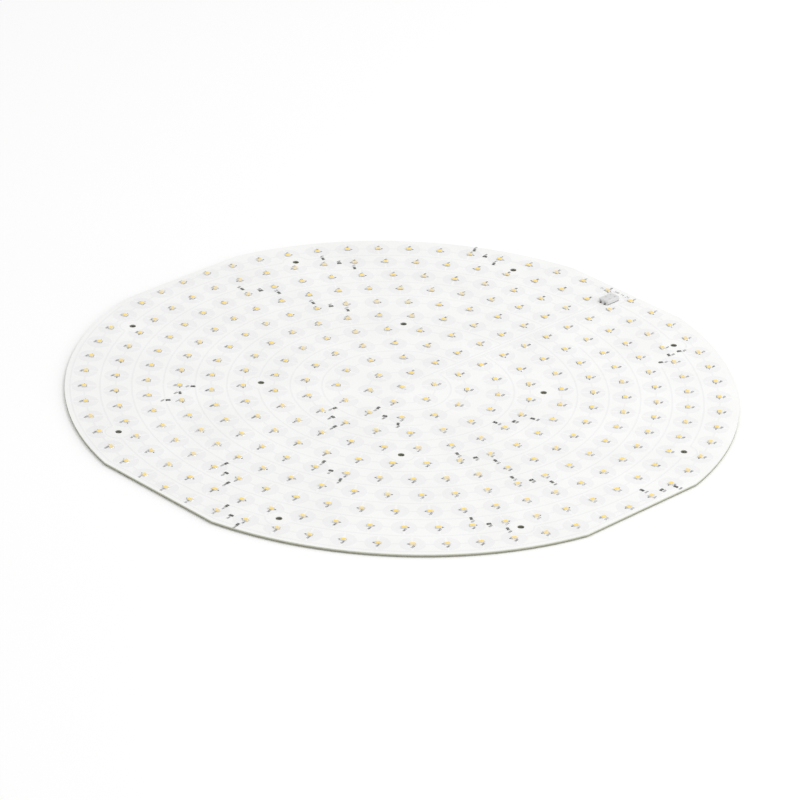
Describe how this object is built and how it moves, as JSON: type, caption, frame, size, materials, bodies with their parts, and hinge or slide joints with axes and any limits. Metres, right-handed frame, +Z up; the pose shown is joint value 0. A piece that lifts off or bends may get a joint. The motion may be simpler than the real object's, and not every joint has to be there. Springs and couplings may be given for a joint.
{
  "type": "led module board",
  "caption": "Round white circuit board with four short flats, rings of surface-mounted LEDs, screw holes and a low two-pole push-in terminal.",
  "frame": {"origin": "centre of the board's outline on its flat underside", "axes": "+Z up out of the LED side, +X from the centre to the terminal, +Y in the board's plane at a right angle to it"},
  "size_m": [0.3944, 0.3944, 0.0042],
  "materials": {
    "board_laminate": "matt white solder mask on a glass-resin laminate, with a bare khaki cut edge",
    "copper_land": "the same white mask over copper, a shade greyer and slightly raised",
    "legend_ink": "thin grey screen-printed ink",
    "led_package": "moulded white LED package",
    "led_window": "yellow phosphor in clear silicone, slightly sunk and satin",
    "chip_body": "black glazed chip resistor body",
    "chip_end": "tinned chip end with a dull solder fillet",
    "terminal_plastic": "pale grey moulded housing, fine matt grain",
    "terminal_metal": "tinned copper-alloy sheet"
  },
  "bodies": {
    "root": {"board": "board_laminate", "led_packages_centre": "led_package", "led_windows_centre": "led_window", "led_packages_ring_01": "led_package", "led_windows_ring_01": "led_window", "led_packages_ring_02": "led_package", "led_windows_ring_02": "led_window", "led_packages_ring_03": "led_package", "led_windows_ring_03": "led_window", "led_packages_ring_04": "led_package", "led_windows_ring_04": "led_window", "led_packages_ring_05": "led_package", "led_windows_ring_05": "led_window", "led_packages_ring_06": "led_package", "led_windows_ring_06": "led_window", "led_packages_ring_07": "led_package", "led_windows_ring_07": "led_window", "led_packages_ring_08": "led_package", "led_windows_ring_08": "led_window", "led_packages_ring_09": "led_package", "led_windows_ring_09": "led_window", "led_packages_ring_10": "led_package", "led_windows_ring_10": "led_window", "chip_bodies_inner": "chip_body", "chip_bodies_middle": "chip_body", "chip_bodies_outer": "chip_body", "chip_ends_inner": "chip_end", "chip_ends_middle": "chip_end", "chip_ends_outer": "chip_end", "terminal_housing": "terminal_plastic", "terminal_contact_left": "terminal_metal", "terminal_contact_right": "terminal_metal"}
  },
  "joints": []
}
